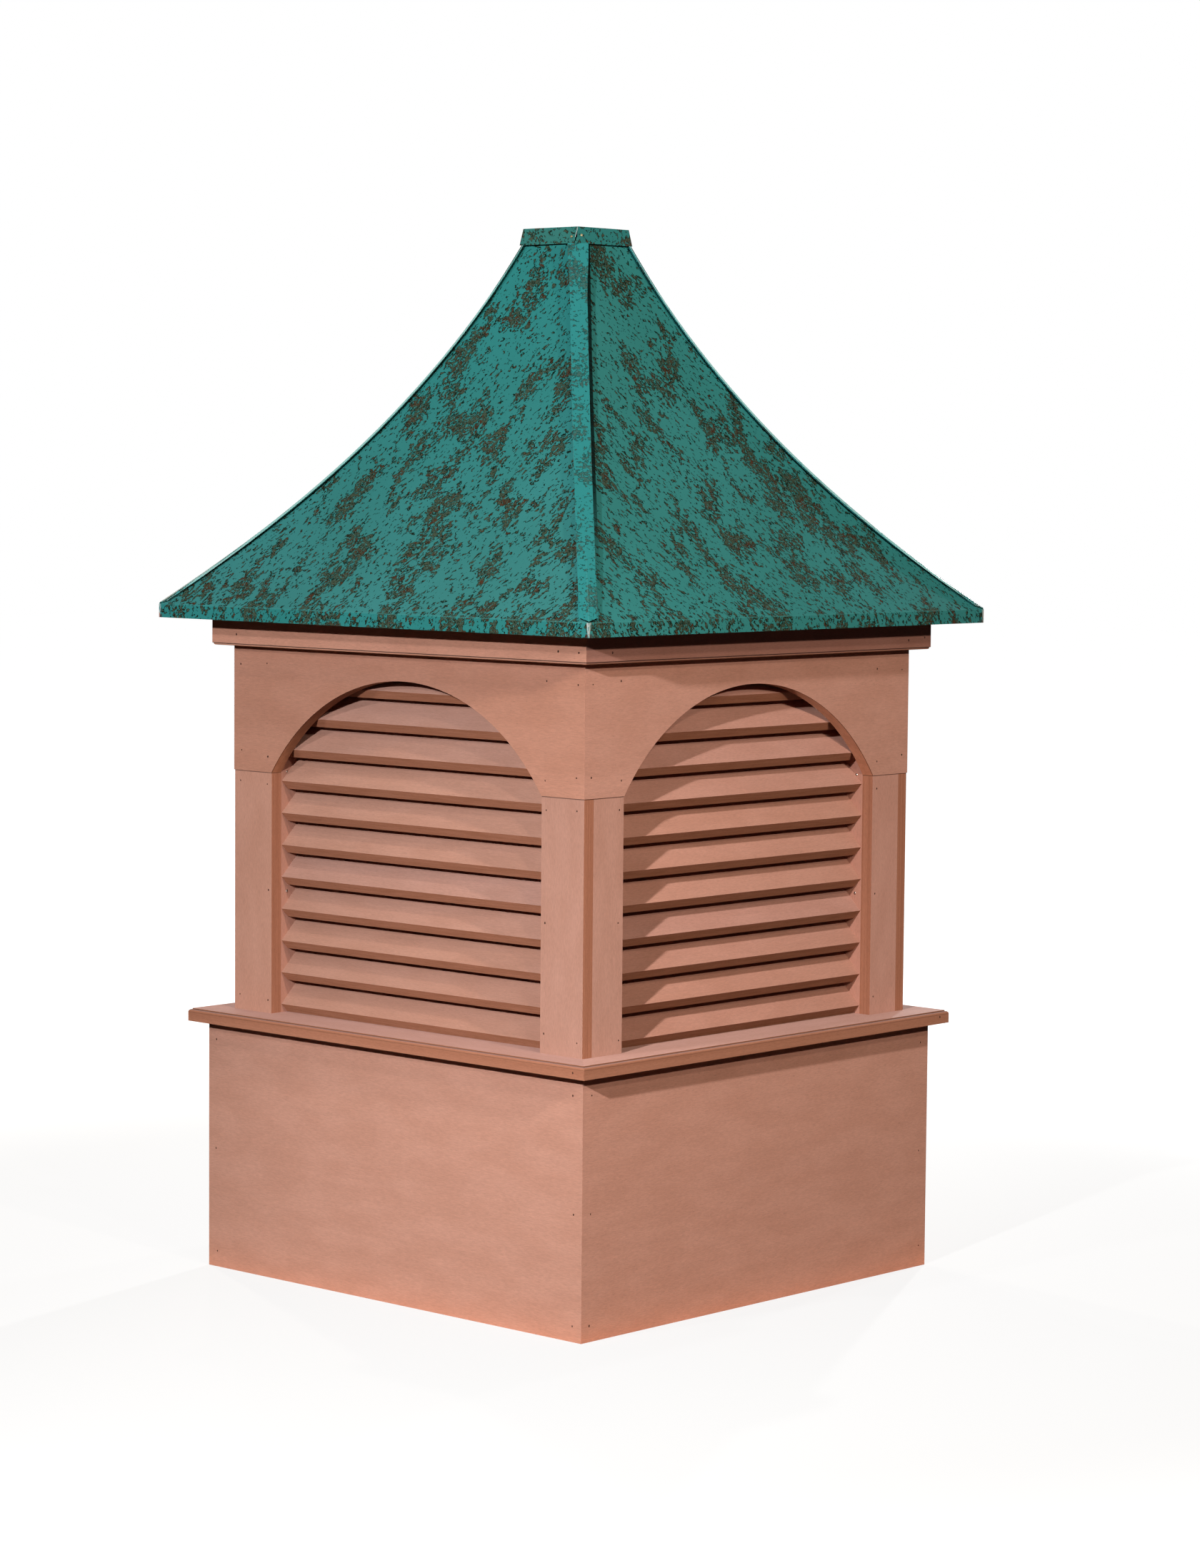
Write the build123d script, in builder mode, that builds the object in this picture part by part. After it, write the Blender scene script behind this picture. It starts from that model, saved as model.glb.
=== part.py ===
from build123d import *

import math
import os

# Louvred roof cupola, 30 in square at the base, with a bell-cast sheet-metal roof.
# The origin is on the ground at the middle of the base, +Z up. The front faces -Y.
# Lengths are millimetres.

# --- driving dimensions -------------------------------------------------------------

board_t = 19.0  # timber boards of the base, stiles, jambs and sill

base_half = 381.0
base_h = 369.0

sill_overhang = 22.0  # past the base boards
sill_w = 95.0
sill_t = 19.0
round_r = 3.8  # quarter-round worked on the edge of the sill
ledge = 0.8  # flat between the quarter-round and its fillet
fillet_h = 1.6

box_setback = 27.2  # louvre storey behind the base boards
stile_w = 80.0
stile_h = 357.5

header_t = 20.0  # arched boards, a little thicker than the stiles below them
header_h = 226.3
arch_rise = 146.0

slat_t = 17.5
slat_l = 57.0  # along the sloping top face
slat_pitch = 47.4
slat_angle = 45.0
slat_count = 11
slat_recess = 1.0  # slat noses behind the back of the stiles

crown_t = 23.0
crown_h = 41.0
quirk = 1.5  # bead under the crown board, behind its face
bead_h = 3.0
bead_r = 2.4
deck_t = 16.0
deck_w = 140.0

eave_overhang = 55.6  # past the crown boards
drip_h = 20.0
drip_lip = 1.0  # drip edge below the eave deck
sheet_t = 1.5
neck_half = 45.0  # half width across the top of the roof sheets
eave_slope = 41.5  # slopes of the hollow curve at the eave and at the neck
neck_slope = 68.45

hip_w = 25.0
hip_lift = 5.0  # hip strips above the corners of the roof sheets
hip_t = 3.7  # upright height of a hip strip's hemmed edge
upstand_t = 4.0
hip_end_setback = 0.5  # hip strip end behind the eave fold
hip_end_share = 0.3  # height and hem of a hip strip left at its lower end
hip_droop = 4.3  # edges of a hip strip folded down at its lower end
hip_steps = 8  # equal steps up a hip
hip_fold_steps = 3  # steps over which a hip strip opens out to its full height

cap_h = 24.2
cap_margin = 10.0  # top of the cap past the neck
cap_splay = 3.8
seam_w = 2.8  # open seams in the front and back skirts of the top cap, at their widest
seam_foot_w = 1.3
seam_drop = 5.0  # their upper ends below the top of the cap
seam_wide_drop = 13.0  # where they are widest
seam_lean = 4.3  # their feet in from the edge of the cap's top

# --- derived sizes ------------------------------------------------------------------

sill_top = base_h + sill_t
sill_half = base_half + sill_overhang
box_half = base_half - box_setback
frame_half = box_half - board_t  # back of the stiles, front of the jambs
opening_half = box_half - stile_w
jamb_back = opening_half + board_t
spring_z = sill_top + stile_h
deck_z = spring_z + header_h
header_half = frame_half + header_t
arch_r = (opening_half**2 + arch_rise**2) / (2 * arch_rise)
crown_half = header_half + crown_t
crown_z = deck_z - crown_h
eave_half = crown_half + eave_overhang
drip_z = deck_z - drip_lip
fold_z = drip_z + drip_h
eave_sin = math.sin(math.radians(eave_slope))
neck_sin = math.sin(math.radians(neck_slope))
roof_r = (eave_half - neck_half) / (neck_sin - eave_sin)
arc_x = eave_half + roof_r * eave_sin
arc_z = fold_z + roof_r * math.cos(math.radians(eave_slope))
roof_top = arc_z - roof_r * math.cos(math.radians(neck_slope))
cap_top = roof_top + sheet_t
cap_z = cap_top - cap_h
cap_top_half = neck_half + cap_margin
cap_low_half = cap_top_half + cap_splay

SIDES = {"front": -90, "right": 0, "back": 90, "left": 180}
CORNERS = {"front_right": -45, "back_right": 45, "back_left": 135, "front_left": 225}


def outward(turn):
    """Unit vector that points out of the side or corner at this turn."""
    return Vector(math.cos(math.radians(turn)), math.sin(math.radians(turn)), 0)


def section_plane(turn):
    """Upright plane through the axis: X is the distance outward, Y the height."""
    return Plane(origin=(0, 0, 0), x_dir=outward(turn), z_dir=outward(turn - 90))


def elevation_plane(turn, distance):
    """Upright plane seen from outside: X runs along the side, Y is the height."""
    face = outward(turn)
    return Plane(origin=face * distance, x_dir=outward(turn + 90), z_dir=face)


def write(builder, label):
    """Label a finished piece and write its STEP file."""
    builder.part.label = label
    export_step(builder.part, f"parts/{label}.step")


def keep_quarter(turn):
    """Cut the piece being built to one side's quarter, which mitres both its ends."""
    reach = 2 * sill_half
    with BuildSketch(Plane.XY.rotated((0, 0, turn))) as quarter:
        Polygon((0, 0), (reach, -reach), (reach, reach), align=None)
    extrude(quarter.sketch, amount=cap_top, mode=Mode.INTERSECT)


def roof_height(half, radius=roof_r):
    """Height of the hollow roof curve at a distance from the axis."""
    return arc_z - math.sqrt(radius**2 - (arc_x - half) ** 2)


def roof_reach(height, radius=roof_r):
    """Distance of the hollow roof curve from the axis at a height."""
    return arc_x - math.sqrt(radius**2 - (arc_z - height) ** 2)


# --- base and sill ------------------------------------------------------------------


def base_panel(turn):
    """Plain board of the base, mitred at the corners."""
    with BuildPart() as panel:
        with BuildSketch(section_plane(turn)):
            with Locations((base_half - board_t, 0)):
                Rectangle(board_t, base_h, align=(Align.MIN, Align.MIN))
        extrude(amount=base_half, both=True)
        keep_quarter(turn)
    return panel


def sill(turn):
    """Sill board with a quarter-round and a fillet along its upper edge."""
    round_x, round_z = sill_half - round_r, sill_top - fillet_h - round_r
    with BuildPart() as board:
        with BuildSketch(section_plane(turn)):
            with BuildLine():
                Polyline((round_x, round_z + round_r), (round_x - ledge, round_z + round_r),
                         (round_x - ledge, sill_top), (sill_half - sill_w, sill_top),
                         (sill_half - sill_w, base_h), (sill_half, base_h), (sill_half, round_z))
                CenterArc((round_x, round_z), round_r, 0, 90)
            make_face()
        extrude(amount=sill_half, both=True)
        keep_quarter(turn)
    return board


# --- louvre storey ------------------------------------------------------------------


def stile(turn, hand, outer_edge):
    """Upright board beside a louvre opening. hand is -1 or 1 along the side."""
    width = outer_edge - opening_half
    with BuildPart() as board:
        with BuildSketch(elevation_plane(turn, frame_half)):
            with Locations((hand * (opening_half + width / 2), sill_top)):
                Rectangle(width, stile_h, align=(Align.CENTER, Align.MIN))
        extrude(amount=board_t)
    return board


def arched_header(turn):
    """Board across the top of a side, cut to a flat arch, mitred at the corners."""
    with BuildPart() as board:
        with BuildSketch(elevation_plane(turn, frame_half)):
            with Locations((0, spring_z)):
                Rectangle(2 * header_half, deck_z - spring_z, align=(Align.CENTER, Align.MIN))
            with Locations((0, spring_z + arch_rise - arch_r)):
                Circle(arch_r, mode=Mode.SUBTRACT)
        extrude(amount=header_t)
        keep_quarter(turn)
    return board


def crown_board(turn):
    """Board under the eaves with a small quarter-round bead along its lower edge."""
    bead_x = crown_half - quirk
    with BuildPart() as board:
        with BuildSketch(section_plane(turn)):
            with BuildLine():
                Polyline((bead_x, crown_z + bead_r), (bead_x, crown_z + bead_h),
                         (crown_half, crown_z + bead_h), (crown_half, deck_z),
                         (header_half, deck_z), (header_half, crown_z),
                         (bead_x - bead_r, crown_z))
                CenterArc((bead_x - bead_r, crown_z + bead_r), bead_r, 270, 90)
            make_face()
        extrude(amount=crown_half, both=True)
        keep_quarter(turn)
    return board


def louvre_jambs(turn, depth):
    """The two uprights that hold the slats of a side, behind its stiles."""
    with BuildPart() as jambs:
        for hand in (-1, 1):
            with BuildSketch(elevation_plane(turn, frame_half)):
                with Locations((hand * (opening_half + board_t / 2), sill_top)):
                    Rectangle(board_t, deck_z - sill_top, align=(Align.CENTER, Align.MIN))
            extrude(amount=-depth)
    return jambs


def louvre_slats(turn):
    """Fixed slats of a side. Each has a square edge, and the lowest rests on the sill."""
    nose_x = frame_half - slat_recess
    lowest_z = sill_top + slat_t * math.cos(math.radians(slat_angle))
    with BuildPart() as slats:
        with BuildSketch(section_plane(turn)):
            for index in range(slat_count):
                with Locations(Location((nose_x, lowest_z + index * slat_pitch), -slat_angle)):
                    Rectangle(slat_l, slat_t, align=(Align.MAX, Align.MAX))
        extrude(amount=opening_half, both=True)
    return slats


# --- roof ---------------------------------------------------------------------------


def eave_deck():
    """Flat board under the roof sheets, with a square hole to the hollow above."""
    with BuildPart() as deck:
        with BuildSketch(Plane.XY.offset(deck_z)):
            Rectangle(2 * (eave_half - sheet_t), 2 * (eave_half - sheet_t))
            Rectangle(2 * (eave_half - deck_w), 2 * (eave_half - deck_w), mode=Mode.SUBTRACT)
        extrude(amount=deck_t)
    return deck


def roof_arc(radius, low_z, high_z):
    """Part of the hollow roof curve, about its centre, from low_z up to high_z."""
    start = 180 + math.degrees(math.asin((arc_z - low_z) / radius))
    end = 180 + math.degrees(math.asin((arc_z - high_z) / radius))
    CenterArc((arc_x, arc_z), radius, start, end - start)


def roof_panel(turn):
    """Hollow-curved sheet of a side with its upright drip edge."""
    inner_r = roof_r + sheet_t
    inner_half = eave_half - sheet_t
    inner_z = roof_height(inner_half, inner_r)
    with BuildPart() as panel:
        with BuildSketch(section_plane(turn)):
            with BuildLine():
                Polyline((inner_half, inner_z), (inner_half, drip_z), (eave_half, drip_z),
                         (eave_half, fold_z))
                roof_arc(roof_r, fold_z, roof_top)
                Line((roof_reach(roof_top), roof_top), (roof_reach(roof_top, inner_r), roof_top))
                roof_arc(inner_r, inner_z, roof_top)
            make_face()
        extrude(amount=eave_half, both=True)
        keep_quarter(turn)
    return panel


def hip_station(step):
    """Half width of the roof at a step up a hip, and the height of the strip's middle and
    its hem there, and how far its edges are folded down."""
    half = eave_half + (neck_half - eave_half) * step / hip_steps
    fold = max(0, 1 - step / hip_fold_steps) ** 1.5
    share = 1 - (1 - hip_end_share) * fold**2
    return half, roof_height(half) + hip_lift * share, hip_t * share, hip_droop * fold


def hip_cap(turn):
    """Hemmed strip on the upstand where two roof sheets meet. It is pressed down onto the
    corner at the eave and trimmed at both ends."""
    stations = [hip_station(step) for step in range(hip_steps + 1)]
    end_half = eave_half - hip_end_setback
    edge = hip_w / 2
    foot = [(math.sqrt(2) * half, roof_height(half)) for half, top, hem, fold in stations]
    head = [(math.sqrt(2) * half, top - 0.8 * hem) for half, top, hem, fold in stations]
    with BuildPart() as cap:
        for half, top, hem, fold in stations:
            with BuildSketch(elevation_plane(turn, math.sqrt(2) * half)):
                Polygon((-edge, top - fold), (0, top), (edge, top - fold),
                        (edge, top - fold - hem), (0, top - hem), (-edge, top - fold - hem),
                        align=None)
        loft()
        with BuildSketch(section_plane(turn)):
            with BuildLine():
                Spline(*foot)
                Line(foot[-1], head[-1])
                Spline(*head)
                Line(head[0], foot[0])
            make_face()
        extrude(amount=upstand_t / 2, both=True)
        with BuildSketch(Plane.XY.rotated((0, 0, turn - 45))):
            Rectangle(end_half, end_half, align=(Align.MIN, Align.MIN))
        extrude(amount=cap_z, mode=Mode.INTERSECT)
    return cap


def top_cap():
    """Square sheet cap with splayed skirts. The front and back skirts each have an open
    seam at their right end, leaning in from the corner."""
    foot_x = cap_top_half - seam_lean
    lean = seam_lean * (seam_wide_drop - seam_drop) / (cap_h - seam_drop)
    with BuildPart() as cap:
        with BuildSketch(Plane.XY.offset(cap_z)):
            Rectangle(2 * cap_low_half, 2 * cap_low_half)
        with BuildSketch(Plane.XY.offset(cap_top)):
            Rectangle(2 * cap_top_half, 2 * cap_top_half)
        loft()
        with BuildSketch(Plane.XY.offset(cap_z)):
            Rectangle(2 * (cap_low_half - sheet_t), 2 * (cap_low_half - sheet_t))
        with BuildSketch(Plane.XY.offset(cap_top - sheet_t)):
            Rectangle(2 * (cap_top_half - sheet_t), 2 * (cap_top_half - sheet_t))
        loft(mode=Mode.SUBTRACT)
        for turn in (SIDES["front"], SIDES["back"]):
            with BuildSketch(elevation_plane(turn, cap_top_half - sheet_t)):
                Polygon((cap_top_half, cap_top - seam_drop), (foot_x, cap_z),
                        (foot_x + seam_foot_w, cap_z),
                        (cap_top_half - lean + seam_w, cap_top - seam_wide_drop), align=None)
            extrude(amount=cap_splay + 2 * sheet_t, mode=Mode.SUBTRACT)
    return cap


# --- pieces -------------------------------------------------------------------------

os.makedirs("parts", exist_ok=True)

for side, turn in SIDES.items():
    write(base_panel(turn), f"{side}_base_panel")
    write(sill(turn), f"{side}_sill")
    write(arched_header(turn), f"{side}_arched_header")
    write(louvre_slats(turn), f"{side}_louvre_slats")
    write(crown_board(turn), f"{side}_crown_board")
    write(roof_panel(turn), f"{side}_roof_panel")

# front and back stiles run out to the corners, and their jambs back the side louvres
for side, names in {"front": ("left", "right"), "back": ("right", "left")}.items():
    write(louvre_jambs(SIDES[side], frame_half - opening_half), f"{side}_louvre_jambs")
    for hand, name in zip((-1, 1), names):
        write(stile(SIDES[side], hand, box_half), f"{side}_{name}_stile")

# right and left stiles and jambs butt against those of the front and back
for side, names in {"right": ("front", "back"), "left": ("back", "front")}.items():
    write(louvre_jambs(SIDES[side], frame_half - jamb_back), f"{side}_louvre_jambs")
    for hand, name in zip((-1, 1), names):
        write(stile(SIDES[side], hand, frame_half), f"{side}_{name}_stile")

write(eave_deck(), "eave_deck")
for corner, turn in CORNERS.items():
    write(hip_cap(turn), f"{corner}_hip_cap")
write(top_cap(), "top_cap")
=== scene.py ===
"""Looks of the louvred roof cupola: materials, nails, rivets, lights, floor and camera."""

import math

import bmesh
import bpy
from mathutils import Matrix, Vector


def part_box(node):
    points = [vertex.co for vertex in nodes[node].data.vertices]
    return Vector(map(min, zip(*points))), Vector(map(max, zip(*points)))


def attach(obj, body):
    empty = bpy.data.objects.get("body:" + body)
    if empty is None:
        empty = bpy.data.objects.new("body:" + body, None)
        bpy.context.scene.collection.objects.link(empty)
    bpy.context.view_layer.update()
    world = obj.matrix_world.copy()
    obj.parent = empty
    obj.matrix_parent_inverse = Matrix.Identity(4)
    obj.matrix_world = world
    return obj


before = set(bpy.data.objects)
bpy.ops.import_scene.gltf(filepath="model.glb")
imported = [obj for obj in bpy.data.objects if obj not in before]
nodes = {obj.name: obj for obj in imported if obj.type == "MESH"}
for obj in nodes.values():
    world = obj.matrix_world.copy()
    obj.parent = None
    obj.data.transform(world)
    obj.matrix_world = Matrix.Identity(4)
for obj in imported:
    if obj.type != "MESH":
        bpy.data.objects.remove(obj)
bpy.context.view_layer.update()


# --- shader graph helper ------------------------------------------------------------


class Graph:
    """A material's node tree, with short ways to add nodes to it."""

    def __init__(self, name):
        self.material = bpy.data.materials.new(name)
        self.material.use_nodes = True
        self.tree = self.material.node_tree
        self.shader = self.tree.nodes["Principled BSDF"]
        self.place = self.add("ShaderNodeTexCoord").outputs["Object"]

    def add(self, kind, inputs=None, **settings):
        """Adds a node. Inputs are sockets to link or plain values, by name or number."""
        node = self.tree.nodes.new(kind)
        for key, value in settings.items():
            setattr(node, key, value)
        for key, value in (inputs or {}).items():
            if isinstance(value, bpy.types.NodeSocket):
                self.tree.links.new(value, node.inputs[key])
            else:
                node.inputs[key].default_value = value
        return node

    def math(self, operation, a, b=0.0, c=0.0):
        return self.add("ShaderNodeMath", {0: a, 1: b, 2: c}, operation=operation).outputs[0]

    def smooth(self, value, low, high):
        """0 below low, 1 above high, smooth between them."""
        node = self.add("ShaderNodeMapRange", {0: value, 1: low, 2: high},
                        interpolation_type="SMOOTHSTEP")
        return node.outputs[0]

    def mix(self, factor, a, b, blend="MIX"):
        """Mixes two colours."""
        node = self.add("ShaderNodeMix", {0: factor}, data_type="RGBA", blend_type=blend)
        for socket, value in ((node.inputs[6], a), (node.inputs[7], b)):
            if isinstance(value, bpy.types.NodeSocket):
                self.tree.links.new(value, socket)
            else:
                socket.default_value = (*value, 1.0)
        return node.outputs[2]

    def scaled(self, vector, sizes, shift=(0, 0, 0)):
        """The vector divided by a feature size on each axis, then shifted."""
        node = self.add("ShaderNodeMapping", {"Vector": vector, "Location": shift,
                                              "Scale": tuple(1 / size for size in sizes)})
        return node.outputs[0]

    def noise(self, vector, detail=2.0, roughness=0.5, distortion=0.0):
        """Noise with features about one unit across, from 0 to 1."""
        node = self.add("ShaderNodeTexNoise", {"Vector": vector, "Scale": 1.0, "Detail": detail,
                                               "Roughness": roughness, "Distortion": distortion})
        return node.outputs["Fac"]

    def axes(self, vector):
        return self.add("ShaderNodeSeparateXYZ", {0: vector}).outputs[:3]

    def normal(self):
        """The true normal, in the object's axes."""
        return self.axes(self.add("ShaderNodeNewGeometry").outputs["True Normal"])

    def bump(self, height, distance, strength=1.0):
        node = self.add("ShaderNodeBump", {"Height": height, "Distance": distance,
                                           "Strength": strength})
        self.tree.links.new(node.outputs[0], self.shader.inputs["Normal"])

    def set(self, **inputs):
        """Links or sets inputs of the main shader; names use _ for a space."""
        for key, value in inputs.items():
            socket = self.shader.inputs[key.replace("_", " ")]
            if isinstance(value, bpy.types.NodeSocket):
                self.tree.links.new(value, socket)
            else:
                socket.default_value = value


def tinted(colour, tint):
    return tuple(a * b for a, b in zip(colour, tint))


# --- timber -------------------------------------------------------------------------

FACE = (0.650, 0.321, 0.236)
EDGE = (0.480, 0.195, 0.108)
STILE_EDGE = (0.530, 0.224, 0.136)
SLAT_EDGE = (0.440, 0.183, 0.109)
SILL_EDGE = (0.500, 0.212, 0.124)
AXIS = {"x": 0, "y": 1, "z": 2}
CLOUD, FIBRE, PORE = (0.09, 0.035), (0.008, 0.0011), (0.006, 0.0010)  # along, across the grain
DEEP, PALE = (0.965, 0.950, 0.940), (1.025, 1.035, 1.045)  # tints of a board's cloudy face
EDGE_SHARE = 0.9  # how much of the machined wood's colour an edge takes
LINE_SOFT = 0.0004  # half the soft margin of a dark line
SLAT_PITCH = 0.0474
SLAT_NOSE = 0.0124  # upper corner of a slat's nose above the slat's lowest point
NAIL_R = 0.0012

base_low, base_high = (Vector(corner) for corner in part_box("front_base_panel"))
sill_low, sill_high = (Vector(corner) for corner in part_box("front_sill"))
slats_low = Vector(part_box("front_louvre_slats")[0])
stile_low, stile_high = (Vector(corner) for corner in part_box("front_right_stile"))
header_low, header_high = (Vector(corner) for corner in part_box("front_arched_header"))
crown_low, crown_high = (Vector(corner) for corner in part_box("front_crown_board"))
roof_low = Vector(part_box("front_roof_panel")[0])
cap_low, cap_high = (Vector(corner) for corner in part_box("top_cap"))

# painted shade lines in the quirks of the mouldings: lower end, upper end, share of light kept
CROWN_SHADE_LINES = ((crown_low.z + 0.0022, crown_low.z + 0.0036, 0.30),)
SILL_SHADE_LINES = ((sill_high.z - 0.0022, sill_high.z - 0.0006, 0.52),
              (sill_high.z - 0.0060, sill_high.z - 0.0050, 0.72))


class Board(Graph):
    """Smooth softwood. grain is the axis it runs along, face the axis its wide face
    looks along."""

    def __init__(self, name, grain, face, seed, streak=(0.9, 0.010)):
        super().__init__(name)
        self.grain, self.face = AXIS[grain], AXIS[face]
        shift = (seed * 7.3, seed * 3.1, seed * 5.7)
        self.clouds = self.noise(self.along(*CLOUD, shift), 2.0)
        self.bands = self.noise(self.along(*streak, shift), 3.0, 0.6)
        self.fibres = self.noise(self.along(*FIBRE, shift), 2.0, 0.65)
        self.pores = self.noise(self.along(*PORE, shift), 1.0)
        self.out = self.math("ABSOLUTE", self.axes(self.place)[self.face])
        self.towards = self.math("ABSOLUTE", self.normal()[self.face])
        self.height = self.axes(self.place)[2]

    def along(self, length, width, shift):
        sizes = [width] * 3
        sizes[self.grain] = length
        return self.scaled(self.place, sizes, shift)

    def face_colour(self, tint):
        return self.mix(self.smooth(self.clouds, 0.30, 0.70),
                        tinted(FACE, tinted(tint, DEEP)), tinted(FACE, tinted(tint, PALE)))

    def on_edge(self, start=0.97):
        """1 on the board's edges, 0 on its wide face."""
        return self.smooth(self.towards, start, 0.60)

    def edge_colour(self, edge, low=(0.90, 0.86, 0.82)):
        return self.mix(self.smooth(self.bands, 0.35, 0.65), tinted(edge, low), edge)

    def line(self, value, low, high, kept):
        """Share of light kept on a painted shade line between two values, about 1 mm soft."""
        inside = self.math("MULTIPLY", self.smooth(value, low - LINE_SOFT, low + LINE_SOFT),
                           self.smooth(value, high + LINE_SOFT, high - LINE_SOFT))
        return self.math("MULTIPLY_ADD", inside, kept - 1.0, 1.0)

    def finish(self, colour, kept=None, streaks=0.10):
        level = self.math("MULTIPLY_ADD", self.bands, streaks, 1.0 - streaks / 2)
        level = self.math("MULTIPLY", level, self.math("MULTIPLY_ADD", self.fibres, 0.40, 0.80))
        level = self.math("MULTIPLY", level, self.math(
            "MULTIPLY_ADD", self.smooth(self.pores, 0.66, 0.78), -0.16, 1.0))
        if kept:
            level = self.math("MULTIPLY", level, kept)
        shade = self.add("ShaderNodeCombineXYZ", {0: level, 1: level, 2: level}).outputs[0]
        self.set(Base_Color=self.mix(1.0, colour, shade, "MULTIPLY"), Roughness=0.65,
                 Diffuse_Roughness=1.0, Specular_IOR_Level=0.05)
        self.bump(self.math("MULTIPLY_ADD", self.bands, 0.5, self.fibres), 0.00018, 0.7)
        return self.material


def panel_timber(name, grain, face, seed, tint=(1, 1, 1)):
    """Plain board whose edges show the warmer machined wood."""
    g = Board(name, grain, face, seed)
    edge = g.math("MULTIPLY", g.on_edge(), EDGE_SHARE)
    return g.finish(g.mix(edge, g.face_colour(tint), g.edge_colour(EDGE)))


def moulded_timber(name, grain, face, seed, tint, edge, lines):
    """Board with painted shade along its moulded edge, each line given as low, high, share kept.
    """
    g = Board(name, grain, face, seed)
    share = g.math("MULTIPLY", g.on_edge(), EDGE_SHARE)
    kept = 1.0
    for line in lines:
        kept = g.math("MULTIPLY", g.line(g.height, *line), kept)
    return g.finish(g.mix(share, g.face_colour(tint), g.edge_colour(edge)), kept)


def header_timber(name, grain, face, seed, tint, edge):
    """Arched board with a fine line of painted shade round the front of its sawn arch."""
    g = Board(name, grain, face, seed)
    reveal = g.on_edge(0.90)
    line = g.line(g.out, header_high.x - 0.0017, header_high.x - 0.0003, 0.45)
    kept = g.math("MULTIPLY_ADD", reveal, g.math("SUBTRACT", line, 1.0), 1.0)
    return g.finish(g.mix(g.math("MULTIPLY", reveal, EDGE_SHARE), g.face_colour(tint),
                          g.edge_colour(tinted(EDGE, edge))), kept)


def stile_timber(name, face, seed, tint):
    """Upright with streaked edges, and a painted shadow line at its top, under the header."""
    g = Board(name, "z", face, seed, (0.5, 0.004))
    colour = g.mix(g.on_edge(), g.face_colour(tint),
                   g.edge_colour(STILE_EDGE, (0.88, 0.84, 0.82)))
    return g.finish(colour, g.line(g.height, stile_high.z - 0.0012, stile_high.z + 0.001, 0.5),
                    0.06)


def slat_timber(name, grain, face, seed, tint):
    """Slats of one side. Each has its own tint; painted shade makes the lower ones a little
    darker and painted light the upper ones lighter, and the edge under each nose is darker."""
    g = Board(name, grain, face, seed, (0.06, 0.0035))
    nose = slats_low.z + SLAT_NOSE - slats_low.y
    number = g.math("FLOOR", g.math("MULTIPLY_ADD", g.math("ADD", g.height, g.out),
                                    1 / SLAT_PITCH, 0.6 + seed - nose / SLAT_PITCH))
    pick = g.add("ShaderNodeTexWhiteNoise", {"W": number}, noise_dimensions="1D").outputs[0]
    own = g.mix(pick, (1.01, 0.985, 0.93), (0.985, 1.02, 1.08))
    # painted light and shade: darker low down, lighter higher up the slats
    painted_light_rise = g.mix(g.smooth(g.height, slats_low.z - 0.1, slats_low.z + 0.5),
                 (0.93, 0.90, 0.88), (1.04, 1.05, 1.06))
    colour = g.mix(1.0, g.mix(1.0, g.face_colour(tint), own, "MULTIPLY"), painted_light_rise, "MULTIPLY")
    under = g.smooth(g.normal()[2], 0.0, -0.2)
    return g.finish(g.mix(under, colour, g.edge_colour(SLAT_EDGE)), None, 0.14)


# --- roof sheet ---------------------------------------------------------------------

TEAL = (0.042, 0.285, 0.272)
TEAL_LIGHT = (0.042, 0.325, 0.330)
TEAL_PALE = (0.080, 0.410, 0.390)
RIM = (0.006, 0.020, 0.013)
BROWN = (0.110, 0.046, 0.024)
OLIVE = (0.080, 0.108, 0.072)
BARE = (0.60, 0.72, 0.70)
SCRAPED = (0.55, 0.30, 0.25)
RUSTY = (0.085, 0.022, 0.016)
# painted shade for crevices, and a painted shadow line beside the hip strips
CREVICE_SHADE = (0.002, 0.008, 0.006)
# painted shade under the hip strips
UNDERSIDE_SHADE = (0.003, 0.010, 0.008)
# painted highlight along the strips' crease
CREASE_HIGHLIGHT = (0.14, 0.50, 0.48)
# hems: partly rubbed paint, partly painted highlight
HEM_WEAR_AND_HIGHLIGHT = (0.36, 0.64, 0.62)
# painted shade inside the cap's open seams
SEAM_SHADE = (0.002, 0.006, 0.005)

BLOT, BLOT_LONG, BLOT_HIGH = 0.0052, 0.0095, 0.0060  # patina blots; the last two on a sheet
BLOT_LEAN = 0.40  # sideways per upward
VEIN, RUST = 0.0034, 0.0120

DRIP_H = 0.020
FOLD = roof_low.z + DRIP_H
CAP_TOP_HALF = 0.055
SPLAY = (cap_high.x - CAP_TOP_HALF) / (cap_high.z - cap_low.z)


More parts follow.
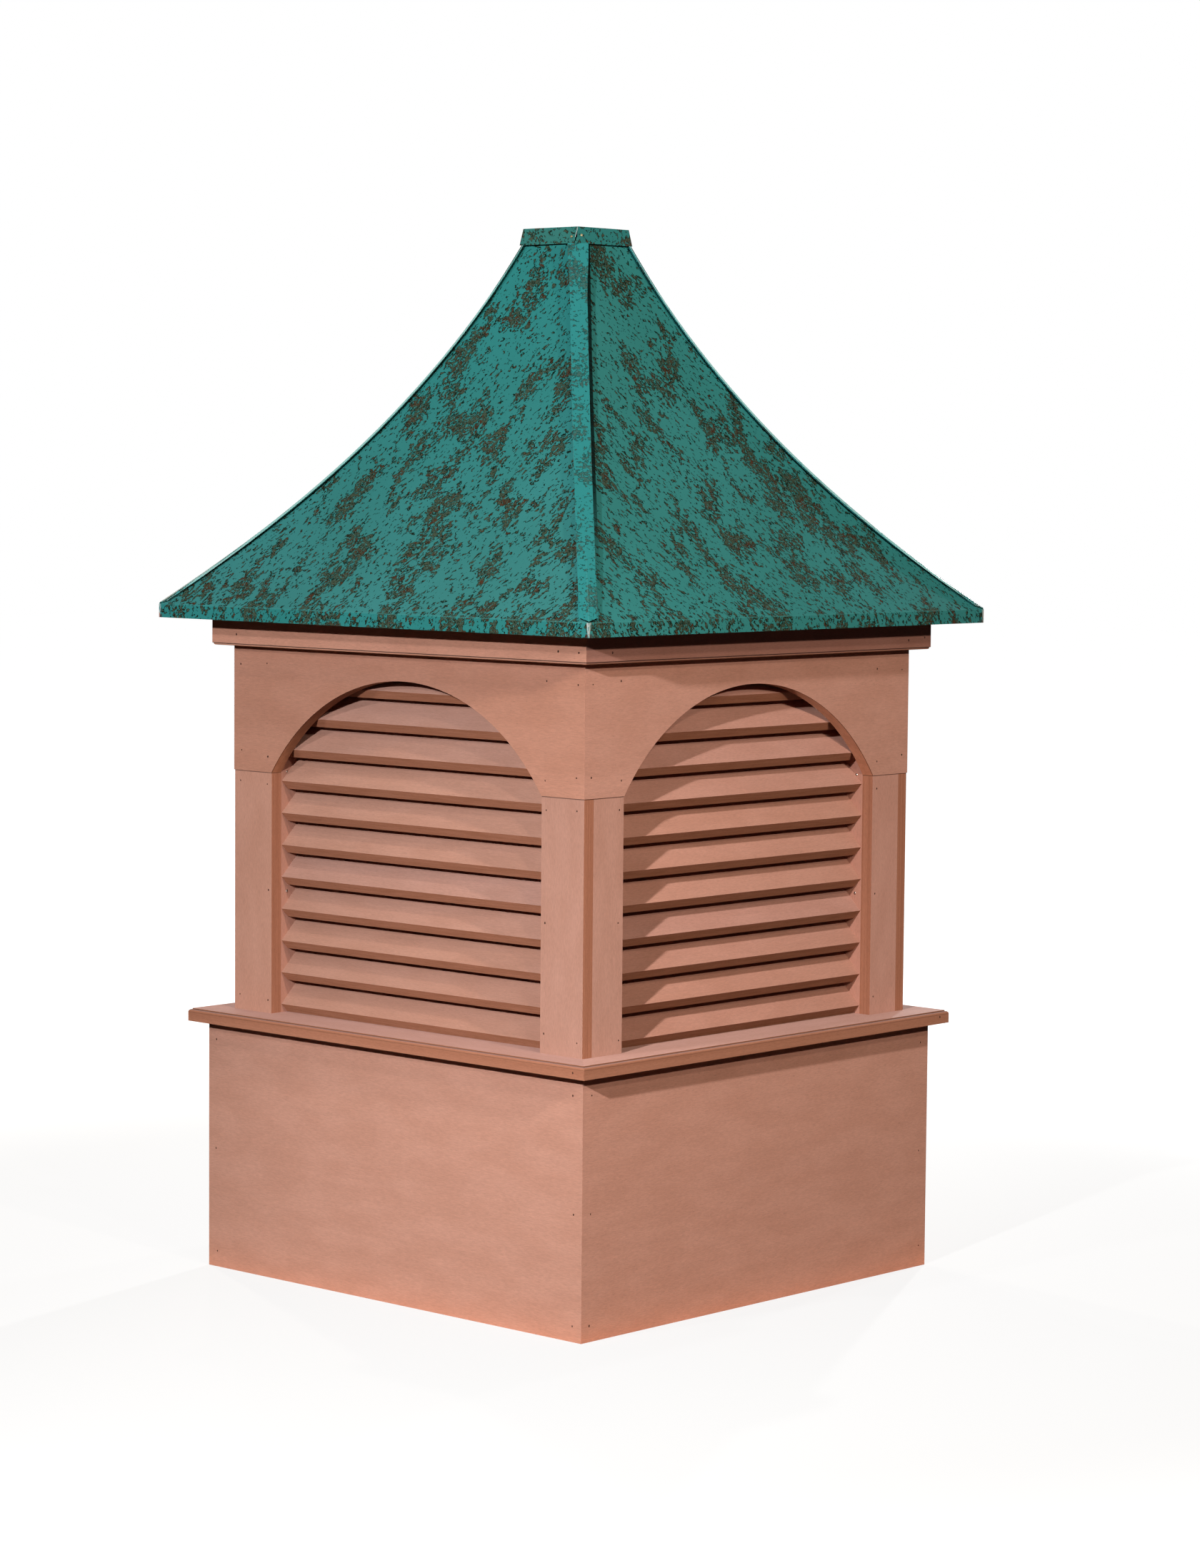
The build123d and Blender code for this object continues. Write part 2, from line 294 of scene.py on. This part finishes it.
def speckled(g, cluster_sizes, base, more=0.0, seed=0.0, across=None):
    """Patina print: small blots with dark rims and olive middles broken by dark veins, a few
    of them brown, most of them crowded into clusters. On a sheet that runs across an axis
    the blots lean."""
    shift = (seed * 3.7, seed * 5.3, seed * 2.9)
    place, sizes = g.place, (BLOT,) * 3
    if across:
        x, y, z = g.axes(g.place)
        lean = g.math("MULTIPLY", z, -BLOT_LEAN)
        place = g.add("ShaderNodeCombineXYZ", {
            0: g.math("ADD", x, lean) if across == "x" else x,
            1: g.math("SUBTRACT", y, lean) if across == "y" else y, 2: z}).outputs[0]
        sizes = (BLOT, BLOT_LONG) if across == "x" else (BLOT_LONG, BLOT)
        sizes += (BLOT_HIGH,)
    clusters = g.noise(g.scaled(g.place, cluster_sizes, shift), 3.0, 0.60)
    blots = g.noise(g.scaled(place, sizes, shift), 1.4, 0.55, 0.5)
    veins = g.noise(g.scaled(g.place, (VEIN,) * 3, shift), 1.0, 0.5, 0.8)
    rust = g.noise(g.scaled(g.place, (RUST,) * 3, shift), 3.0, 0.6)
    thick = g.smooth(clusters, 0.455, 0.63)
    limit = g.math("MULTIPLY_ADD", thick, -0.220, 0.605)
    if more:
        limit = g.math("SUBTRACT", limit, more)
    above = g.math("SUBTRACT", blots, limit)
    rim = g.math("MULTIPLY", g.smooth(above, -0.006, 0.008),
                 g.math("MULTIPLY_ADD", g.smooth(veins, 0.60, 0.63), -0.85, 1.0))
    inside = g.math("MULTIPLY", g.smooth(above, 0.050, 0.080),
                    g.smooth(g.math("ABSOLUTE", g.math("SUBTRACT", veins, 0.53)), 0.020, 0.045))
    middle = g.mix(g.smooth(rust, 0.53, 0.62), OLIVE, BROWN)
    return g.mix(rim, base, g.mix(inside, RIM, middle)), above


def corner_distance(g):
    """How far a point of the roof is from the nearest hip, along a side, and its height."""
    x, y, z = g.axes(g.place)
    less = g.math("MINIMUM", g.math("ABSOLUTE", x), g.math("ABSOLUTE", y))
    more = g.math("MAXIMUM", g.math("ABSOLUTE", x), g.math("ABSOLUTE", y))
    return g.math("SUBTRACT", more, less), z


def on_hips(g, sign):
    """1 around the two hips where x times y has this sign, 0 around the other two. The sign
    is -1 for the front right hip and the one opposite it."""
    x, y = g.axes(g.place)[:2]
    return g.smooth(g.math("MULTIPLY", x, y), 0.0, 0.001 * sign)


def sheet(name, across, seed, drip, foot, top, shade_beside_hip):
    """Painted roof sheet of a side. Its tints on the drip edge and from foot to top are partly
    painted light and shade, a lighter line along the fold is a painted highlight, it is bare
    along the corners of the drip edge, and painted shade darkens the crevices under the hip
    strips and under the cap. The last argument adds a painted shadow line beside the strips
    of the front right hip and the opposite one."""
    g = Graph(name)
    sizes = (0.045, 0.080, 0.080) if across == "x" else (0.080, 0.045, 0.080)
    distance, z = corner_distance(g)
    near = on_hips(g, -1)
    tint = g.smooth(g.noise(g.scaled(g.place, (0.2, 0.2, 0.3)), 2.0), 0.3, 0.7)
    below = g.smooth(z, FOLD + 0.0005, FOLD - 0.0005)
    # tints from foot to top and on the drip edge: partly the paint's tone, partly painted light
    # and shade
    base = g.mix(g.smooth(z, FOLD - 0.08, FOLD + 0.50), tinted(TEAL, foot), tinted(TEAL, top))
    base = g.mix(below, base, tinted(TEAL, drip))
    base = g.mix(1.0, base, g.mix(tint, (0.95, 0.95, 0.94), (1.06, 1.05, 1.06)), "MULTIPLY")
    colour, above = speckled(g, sizes, base, g.math("MULTIPLY", below, 0.030), seed, across)
    scratches = g.noise(g.scaled(g.place, (0.0025, 0.0025, 0.010)), 3.0, 0.6)

    # painted highlight: a lighter line along the fold of the drip edge
    fold = g.smooth(g.math("ABSOLUTE", g.math("SUBTRACT", z, FOLD)), 0.0012, 0.0004)
    colour = g.mix(g.math("MULTIPLY", fold, 0.35), colour, TEAL_PALE)

    width = g.math("MULTIPLY_ADD", g.math("SUBTRACT", z, roof_low.z), 0.13, 0.0018)
    bare = g.smooth(g.math("DIVIDE", distance, width), 1.15, 0.85)
    bare = g.math("MULTIPLY", bare, below)
    metal = g.mix(g.smooth(scratches, 0.40, 0.50), tinted(TEAL_LIGHT, (2.5, 1.1, 1.1)), BARE)
    metal = g.mix(g.smooth(scratches, 0.56, 0.62), metal, SCRAPED)
    low = g.smooth(z, roof_low.z + 0.007, roof_low.z + 0.003)
    rusty = g.math("MULTIPLY", g.smooth(distance, 0.008, 0.005), low)
    colour = g.mix(g.math("MULTIPLY", rusty, 0.8), colour, RUSTY)
    colour = g.mix(bare, colour, metal)

    # painted shade in the crevices under the hip strips, fullest at the front right hip and the
    # one opposite, and a painted shadow line under the cap's skirt
    above_fold = g.smooth(z, FOLD + 0.001, FOLD + 0.003)
    reach = g.math("MULTIPLY_ADD", g.math("SUBTRACT", z, FOLD), -0.0095, 0.0075)
    painted_shade = g.math("MULTIPLY", g.smooth(g.math("DIVIDE", distance, reach), 1.0, 0.8),
                     g.math("MULTIPLY", above_fold, g.math("MULTIPLY_ADD", near, 0.15, 0.85)))
    painted_shade = g.math("MAXIMUM", painted_shade, g.smooth(z, cap_low.z - 0.0022, cap_low.z - 0.0012))
    # painted shadow line beside the strips of the front right hip and the one opposite
    if shade_beside_hip:
        line = g.math("MULTIPLY", g.smooth(distance, 0.0264, 0.0256), near)
        line = g.math("MULTIPLY", line, g.smooth(z, FOLD + 0.04, FOLD + 0.20))
        painted_shade = g.math("MAXIMUM", painted_shade, g.math("MULTIPLY", line, 0.93))
    colour = g.mix(painted_shade, colour, CREVICE_SHADE)
    g.set(Base_Color=colour, Roughness=0.55, Specular_IOR_Level=0.01)
    g.bump(above, 0.00010, 0.5)
    return g.material


def strip_metal(name):
    """Lighter sheet of the hip strips. Its hems are lighter, partly rubbed paint and partly
    painted highlight, and a faint painted highlight runs along its crease towards the eave. The
    front right strip and the one opposite it have undersides darkened as painted shade, and
    their hems aren't lightened at the lower end."""
    g = Graph(name)
    distance, z = corner_distance(g)
    nz = g.normal()[2]
    colour, _ = speckled(g, (0.05, 0.05, 0.10), TEAL_LIGHT, 0.0, 31.0)
    colour = g.mix(0.30, colour, TEAL_LIGHT)
    # painted highlight along the crease, towards the eave
    crease = g.math("MULTIPLY", g.smooth(distance, 0.0010, 0.0003), g.smooth(z, 1.10, 1.03))
    colour = g.mix(g.math("MULTIPLY", crease, 0.35), colour, CREASE_HIGHLIGHT)
    rubs = g.noise(g.scaled(g.place, (0.02, 0.02, 0.04)), 4.0, 0.6)
    # lighter patchy hems, partly rubbed paint and partly painted highlight
    hem = g.math("MULTIPLY", g.smooth(distance, 0.0160, 0.0168), g.smooth(nz, 0.40, 0.25))
    hem = g.math("MULTIPLY", g.math("MULTIPLY", hem, g.smooth(rubs, 0.10, 0.50)),
                 g.math("MAXIMUM", g.smooth(z, 1.02, 1.10), on_hips(g, 1)))
    colour = g.mix(g.math("MULTIPLY", hem, 0.90), colour, HEM_WEAR_AND_HIGHLIGHT)
    # painted shade on the undersides of the front right strip and the one opposite
    painted_under_shade = g.math("MULTIPLY", g.smooth(distance, 0.0165, 0.0155), g.smooth(nz, 0.15, 0.05))
    colour = g.mix(g.math("MULTIPLY", painted_under_shade, on_hips(g, -1)), colour, UNDERSIDE_SHADE)
    g.set(Base_Color=colour, Roughness=0.50, Specular_IOR_Level=0.01)
    return g.material


def cap_metal(name):
    """Speckled sheet of the top cap, rubbed along its upper edges; its skirts facing front and
    back are tinted apart from those facing the sides as painted light and shade, and painted
    shade darkens the inside of its open seams."""
    g = Graph(name)
    nx = g.math("ABSOLUTE", g.normal()[0])
    x, z = g.axes(g.place)[::2]
    # painted light and shade: skirts facing front and back tinted apart from those facing the
    # sides
    base = g.mix(g.smooth(nx, 0.4, 0.6), tinted(TEAL, (1.20, 0.86, 0.80)),
                 tinted(TEAL, (1.10, 1.08, 1.10)))
    colour, above = speckled(g, (0.05, 0.05, 0.03), base, 0.020, 47.0)
    rubs = g.noise(g.scaled(g.place, (0.012, 0.012, 0.012)), 3.0, 0.6)
    worn = g.math("MULTIPLY", g.smooth(z, cap_high.z - 0.0010, cap_high.z - 0.0003),
                  g.smooth(rubs, 0.42, 0.55))
    colour = g.mix(g.math("MULTIPLY", worn, 0.6), colour, TEAL_PALE)
    # painted shade inside the open seams
    skirt = g.math("MULTIPLY_ADD", z, -SPLAY, cap_high.z * SPLAY + CAP_TOP_HALF)
    within = g.smooth(g.math("SUBTRACT", skirt, g.math("ABSOLUTE", x)), 0.0003, 0.0008)
    colour = g.mix(g.math("MULTIPLY", within, g.smooth(nx, 0.4, 0.6)), colour, SEAM_SHADE)
    g.set(Base_Color=colour, Roughness=0.50, Specular_IOR_Level=0.05)
    g.bump(above, 0.00010, 0.5)
    return g.material


def spotted(name, dark, light, size, roughness, metallic=0.0):
    """Two-tone finish for nails, rivets and bare edges."""
    g = Graph(name)
    spots = g.smooth(g.noise(g.scaled(g.place, (size,) * 3), 3.0, 0.6), 0.35, 0.65)
    g.set(Base_Color=g.mix(spots, dark, light), Roughness=roughness, Metallic=metallic,
          Specular_IOR_Level=0.2)
    return g.material


# --- materials on the CAD nodes -----------------------------------------------------


def dress(node, material):
    """Puts a material on a CAD node."""
    for place in nodes[node].material_slots:
        place.material = material


SIDES = {"front": ("x", "y"), "right": ("y", "x"), "back": ("x", "y"), "left": ("y", "x")}
# tints by piece, one for the front and back and one for the right and left: partly the pieces' own
# tone, partly painted light and shade where one side or part is lit more than another
TONE_AND_LIGHT_TINTS = {
    "base_panel": {"front": (0.96, 1.04, 1.05), "right": (1.02, 1.06, 1.07)},
    "arched_header": {"front": (0.92, 0.94, 0.90), "right": (1.05, 1.12, 1.15)},
    "reveal": {"front": (1.08, 1.04, 1.00), "right": (1.35, 1.26, 1.24)},
    "crown_board": {"front": (1.05, 1.11, 1.08), "right": (0.72, 0.70, 0.73)},
    "louvre_slats": {"front": (0.81, 0.90, 0.94), "right": (0.93, 0.97, 1.00)},
    "stile": {"front": (0.87, 0.96, 0.99), "right": (0.99, 1.08, 1.13)},
    "far_stile": {"front": (0.99, 1.08, 1.09), "right": (1.06, 1.14, 1.20)},
    "sill": {"front": (0.67, 0.75, 0.85), "right": (0.73, 0.82, 0.92)},
    "drip_edge": {"front": (0.96, 1.03, 1.05), "right": (1.40, 1.20, 1.23)},
    "roof_foot": {"front": (1.50, 1.06, 1.08), "right": (1.28, 1.12, 1.14)},
    "roof_top": {"front": (0.95, 1.05, 1.06), "right": (1.45, 1.30, 1.32)},
}


def tone_and_light_tint(piece, side):
    return TONE_AND_LIGHT_TINTS[piece]["front" if side in ("front", "back") else "right"]


for number, (side, (grain, face)) in enumerate(SIDES.items()):
    dress(f"{side}_base_panel", panel_timber(f"{side}_base_panel_timber", grain, face, number,
                                             tone_and_light_tint("base_panel", side)))
    dress(f"{side}_arched_header", header_timber(f"{side}_arched_header_timber", grain, face,
                                                 number + 4.2, tone_and_light_tint("arched_header", side),
                                                 tone_and_light_tint("reveal", side)))
    dress(f"{side}_crown_board", moulded_timber(
        f"{side}_crown_board_timber", grain, face, number + 8.4, tone_and_light_tint("crown_board", side),
        EDGE, CROWN_SHADE_LINES))
    dress(f"{side}_sill", moulded_timber(
        f"{side}_sill_timber", grain, "z", number + 16.8, tone_and_light_tint("sill", side), SILL_EDGE,
        SILL_SHADE_LINES))
    dress(f"{side}_louvre_slats", slat_timber(f"{side}_slat_timber", grain, face, number + 21,
                                              tone_and_light_tint("louvre_slats", side)))
    dress(f"{side}_louvre_jambs", panel_timber(f"{side}_jamb_timber", "z", grain, number + 25.2))
    dress(f"{side}_roof_panel", sheet(f"{side}_roof_sheet", grain, number,
                                      tone_and_light_tint("drip_edge", side), tone_and_light_tint("roof_foot", side),
                                      tone_and_light_tint("roof_top", side), side in ("right", "left")))
for node in nodes:
    if node.endswith("_stile"):
        side, end = node.split("_")[:2]
        far = end == {"front": "left", "right": "back", "back": "right", "left": "front"}[side]
        dress(node, stile_timber(f"{node}_timber", SIDES[side][1], len(node) + 29.4,
                                 tone_and_light_tint("far_stile" if far else "stile", side)))
# the deck's tint of about 0.4 is painted shade under the eaves
dress("eave_deck", panel_timber("deck_timber", "x", "z", 40.0, (0.40, 0.36, 0.34)))
hip_material = strip_metal("hip_strip_metal")
for node in nodes:
    if node.endswith("_hip_cap"):
        dress(node, hip_material)
dress("top_cap", cap_metal("top_cap_metal"))

# --- nails and rivets ---------------------------------------------------------------


# the four quarter turns about the object's upright axis
QUARTERS = [Matrix.Rotation(math.radians(90 * turn), 4, "Z") for turn in range(4)]


def button(mesh, place, radius, profile, sides=12):
    """Adds a small round head to a mesh. place carries its centre, and its Z looks out of
    the board. profile is (share of the radius, height) from the rim to the middle."""
    rings = []
    for share, height in profile[:-1]:
        ring = []
        for step in range(sides):
            angle = 2 * math.pi * step / sides
            point = Vector((share * radius * math.cos(angle), share * radius * math.sin(angle),
                            height))
            ring.append(mesh.verts.new(place @ point))
        rings.append(ring)
    middle = mesh.verts.new(place @ Vector((0, 0, profile[-1][1])))
    for outer, inner in zip(rings, rings[1:]):
        for step in range(sides):
            after = (step + 1) % sides
            mesh.faces.new((outer[step], outer[after], inner[after], inner[step]))
    for step in range(sides):
        mesh.faces.new((rings[-1][step], rings[-1][(step + 1) % sides], middle))


def finish(mesh, name, material, shade=True):
    """Turns a mesh into a piece that rides on the object."""
    data = bpy.data.meshes.new(name)
    bmesh.ops.recalc_face_normals(mesh, faces=mesh.faces)
    mesh.to_mesh(data)
    mesh.free()
    data.materials.append(material)
    if shade:
        data.shade_smooth()
    piece = bpy.data.objects.new(name, data)
    bpy.context.scene.collection.objects.link(piece)
    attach(piece, "root")


def facing(point, out):
    """Frame at a point with Z along out and Y up."""
    out = Vector(out).normalized()
    across = Vector((0, 0, 1)).cross(out).normalized()
    turn = Matrix((across, out.cross(across), out)).transposed().to_4x4()
    return Matrix.Translation(point) @ turn


def nail_places(end_grain_side):
    """Nail holes of a side, as (distance from the middle, plane, height, radius, ends).
    The outermost ones in the stiles go into the sides whose stiles reach the corners."""
    inner = stile_low.x + 0.008
    both, right = (-1, 1), (1,)
    rows = []
    for z in (0.027, 0.175, base_high.z - 0.027):
        rows.append((base_high.x - 0.017, base_low.y, z, NAIL_R, both))
    for z in (header_low.z + 0.025, crown_low.z - 0.027):
        rows.append((inner, header_low.y, z, NAIL_R, both))
        rows.append((header_high.x - 0.015, header_low.y, z, NAIL_R, both))
    for z in (stile_low.z + 0.023, stile_low.z + 0.180, stile_high.z - 0.018):
        rows.append((inner, stile_low.y, z, NAIL_R, both))
    if not end_grain_side:
        for z in (stile_low.z + 0.025, stile_high.z - 0.020):
            rows.append((stile_high.x - 0.012, stile_low.y, z, 0.0011, both))
    rows.append((crown_high.x - 0.052, crown_low.y, crown_low.z + 0.0165, 0.0014, both))
    rows.append((crown_high.x - 0.016, crown_low.y, crown_low.z + 0.0165, NAIL_R, right))
    rows.append((sill_high.x - 0.0215, sill_low.y, sill_low.z + 0.0095, NAIL_R, right))
    return rows


def wander(number):
    """A small repeatable stray between -1 and 1."""
    return 2 * math.modf(0.618034 * number + 0.31)[0] - 1


holes = bmesh.new()
count = 0
for number, quarter in enumerate(QUARTERS):
    for x, y, z, radius, ends in nail_places(number % 2 == 1):
        stray = 0.002 if y in (crown_low.y, sill_low.y) else 0.005
        for sign in ends:
            count += 1
            point = (sign * x + 0.002 * wander(count), y, z + stray * wander(3 * count))
            size = radius * (1 + 0.20 * wander(5 * count))
            place = quarter @ facing(point, (0, -1, 0)) @ Matrix.Diagonal((1, 1.25, 1, 1))
            button(holes, place, size, ((1.0, 0.00002), (0.85, 0.00012), (0.0, 0.00005)))
finish(holes, "nail_holes", spotted("nail_hole", (0.030, 0.012, 0.008), (0.130, 0.055, 0.034),
                                    0.0011, 0.8))

heads = bmesh.new()
for quarter in QUARTERS:
    for sign in (-1, 1):
        for z in (stile_high.z - 0.0005, stile_low.z + 0.180):
            point = (sign * stile_low.x, stile_low.y + 0.031, z)
            place = quarter @ facing(point, (-sign, 0, 0))
            button(heads, place, 0.0022, ((1.0, 0.00003), (0.8, 0.0004), (0.0, 0.0005)))
finish(heads, "jamb_nail_heads", spotted("nail_head", (0.30, 0.24, 0.20), (0.75, 0.70, 0.64),
                                         0.002, 0.35, 1.0))


def skirt_point(inset, drop, proud=0.0):
    """Point on the front skirt of the cap, inset from its right corner."""
    reach = CAP_TOP_HALF + SPLAY * drop
    return Vector((reach - inset, -reach - proud, cap_high.z - drop))


rivets = bmesh.new()
for quarter in QUARTERS[::2]:
    left = facing(skirt_point(0.013, 0.0145), (0, -1, SPLAY))
    point = Vector((0.0095 - cap_high.x, 0.0017 - cap_high.x, cap_high.z - 0.0125))
    right = QUARTERS[1] @ facing(point, (0, -1, SPLAY))
    for place in (left, right):
        button(rivets, quarter @ place, 0.0021,
               ((1.0, 0.0), (0.92, 0.0006), (0.6, 0.0010), (0.0, 0.0012)))
finish(rivets, "cap_rivets", spotted("rivet_copper", (0.14, 0.12, 0.05), (0.55, 0.42, 0.22),
                                     0.002, 0.4, 0.6))


def seam_edge(drop):
    """Inset of the edge of the open seam from the corner of the cap."""
    return SPLAY * drop + 0.0043 * max(0.0, drop - 0.005) / 0.0192 + 0.0001


flanges = bmesh.new()
for quarter in QUARTERS[::2]:
    line = [(seam_edge(drop), drop) for drop in (0.0004, 0.0050, 0.0150)]
    line += [(inset + 0.0007, drop) for inset, drop in reversed(line)]
    top = [flanges.verts.new(quarter @ skirt_point(inset, drop, 0.0005)) for inset, drop in line]
    foot = [flanges.verts.new(quarter @ skirt_point(inset, drop, -0.0001)) for inset, drop in line]
    flanges.faces.new(top)
    for step in range(len(line)):
        after = (step + 1) % len(line)
        flanges.faces.new((top[step], foot[step], foot[after], top[after]))
finish(flanges, "cap_flange_edges", spotted("bare_edge", (0.45, 0.56, 0.54), (0.80, 0.84, 0.82),
                                            0.002, 0.35), False)

# --- floor, background, lights and camera -------------------------------------------


def floor():
    """Plain pale floor. The camera and reflections see it white, with the object's shadow;
    beside the object it reflects some warm light onto the base."""
    bpy.ops.mesh.primitive_plane_add(size=40.0)
    plane = bpy.context.object
    plane.name = "studio_floor"
    g = Graph("studio_floor")
    path = g.add("ShaderNodeLightPath")
    seen = g.math("MAXIMUM", path.outputs["Is Camera Ray"], path.outputs["Is Glossy Ray"])
    x, y = g.axes(g.place)[:2]
    out = g.math("SUBTRACT", g.math("MAXIMUM", g.math("ABSOLUTE", x), g.math("ABSOLUTE", y)),
                 base_high.x)
    far = g.add("ShaderNodeVectorMath", {0: g.place}, operation="LENGTH").outputs["Value"]
    strength = g.math("MULTIPLY_ADD", g.smooth(far, 1.2, 2.4), 0.20, 0.80)
    glow = g.add("ShaderNodeEmission", {"Color": (1, 1, 1, 1), "Strength": strength})
    pale = g.add("ShaderNodeBsdfDiffuse", {"Color": (0.20, 0.20, 0.20, 1)})
    shown = g.add("ShaderNodeAddShader", {0: glow.outputs[0], 1: pale.outputs[0]})
    near = g.smooth(out, 0.075, 0.0)
    warm = g.add("ShaderNodeBsdfDiffuse",
                 {"Color": g.mix(near, (0.02, 0.015, 0.012), (0.90, 0.42, 0.10))})
    both = g.add("ShaderNodeMixShader", {0: seen, 1: warm.outputs[0], 2: shown.outputs[0]})
    g.tree.nodes.remove(g.shader)
    g.tree.links.new(both.outputs[0], g.tree.nodes["Material Output"].inputs["Surface"])
    plane.data.materials.append(g.material)


def background():
    """White to the camera, in reflections and through what lets light pass, almost dark as a
    light."""
    world = bpy.data.worlds.new("studio")
    world.use_nodes = True
    tree = world.node_tree
    path = tree.nodes.new("ShaderNodeLightPath")
    total = path.outputs["Is Camera Ray"]
    for ray in ("Is Glossy Ray", "Is Transmission Ray"):
        most = tree.nodes.new("ShaderNodeMath")
        most.operation = "MAXIMUM"
        tree.links.new(total, most.inputs[0])
        tree.links.new(path.outputs[ray], most.inputs[1])
        total = most.outputs[0]
    level = tree.nodes.new("ShaderNodeMath")
    level.operation = "MULTIPLY_ADD"
    tree.links.new(total, level.inputs[0])
    level.inputs[1].default_value = 0.996
    level.inputs[2].default_value = 0.004
    tree.links.new(level.outputs[0], tree.nodes["Background"].inputs["Strength"])
    tree.nodes["Background"].inputs["Color"].default_value = (1, 1, 1, 1)
    bpy.context.scene.world = world


def lamp(name, place, power, radius, tint=(1, 1, 1), aim=None, cone=None):
    """Small studio lamp, and one like it on the opposite side of the object. With a cone
    it is brightest towards aim and fades out at the cone's edge."""
    for mark, sign in (("", 1), ("_opposite", -1)):
        data = bpy.data.lights.new(name + mark, "SPOT" if cone else "POINT")
        data.energy = power
        data.color = tint
        data.shadow_soft_size = radius
        light = bpy.data.objects.new(name + mark, data)
        light.location = (sign * place[0], sign * place[1], place[2])
        if cone:
            data.spot_size = math.radians(cone)
            data.spot_blend = 1.0
            target = Vector((sign * aim[0], sign * aim[1], aim[2]))
            towards = target - light.location
            light.rotation_euler = towards.to_track_quat("-Z", "Y").to_euler()
        bpy.context.scene.collection.objects.link(light)


def camera():
    """Long lens 1.2 m up, about 5.3 m from the base's front right corner."""
    data = bpy.data.cameras.new("camera")
    data.lens = 90.36
    data.sensor_width = 36.0
    view = bpy.data.objects.new("camera", data)
    view.location = (3.9921, -4.2771, 1.2010)
    view.rotation_euler = [math.radians(angle) for angle in (85.3627, -0.4764, 42.6530)]
    bpy.context.scene.collection.objects.link(view)
    bpy.context.scene.camera = view


SOFT_WARM = (1.0, 0.89, 0.76)
FRONT_LAMP = (1.295, -3.505, 1.829)
FOOT = (base_high.x, base_low.y, 0.05)
floor()
background()
lamp("front_lamp", FRONT_LAMP, 248, 0.05)
lamp("front_spot", FRONT_LAMP, 173, 0.05, aim=FOOT, cone=30)
lamp("high_lamp", (0.0, -2.997, 2.134), 69, 0.07)
lamp("side_lamp", (3.175, -0.864, 1.950), 131, 0.06, SOFT_WARM)
lamp("corner_lamp", (2.235, -1.295, 1.960), 31, 0.06, SOFT_WARM)
camera()
bpy.context.scene.view_settings.view_transform = "Standard"
